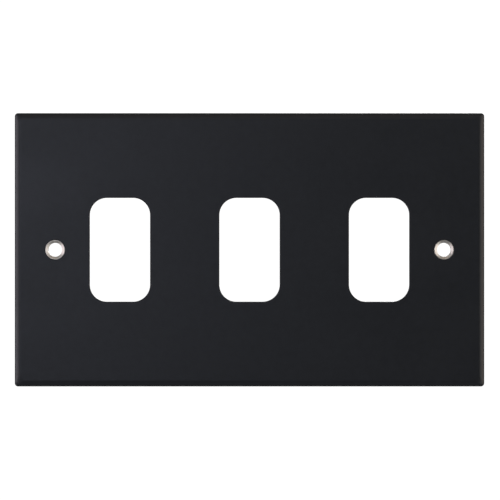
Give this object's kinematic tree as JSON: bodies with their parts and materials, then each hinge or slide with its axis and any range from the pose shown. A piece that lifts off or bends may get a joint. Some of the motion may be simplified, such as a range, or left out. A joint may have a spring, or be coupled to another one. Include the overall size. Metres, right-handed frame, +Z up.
{
  "type": "wall plate cover",
  "caption": "Rectangular metal front plate with rolled edges, rounded module apertures and a bushed screw hole near each end.",
  "frame": {"origin": "on the wall plane, midway between the two fixing-screw holes", "axes": "+X along the plate to the right as seen from the front, +Z up, the front faces -Y"},
  "size_m": [0.146, 0.005, 0.085],
  "materials": {
    "black_coated_steel": "fine matt black powder coat",
    "liner_plastic": "moulded, fine matt texture",
    "plated_bush": "bright nickel plate on turned brass",
    "spring_steel": "stamped, dull",
    "gasket_foam": "closed-cell foam"
  },
  "bodies": {
    "root": {"face_plate": "black_coated_steel", "backing_liner": "liner_plastic", "screw_bush_left": "plated_bush", "screw_bush_right": "plated_bush", "bush_retainer_left": "spring_steel", "bush_retainer_right": "spring_steel", "wall_gasket": "gasket_foam"}
  },
  "joints": []
}
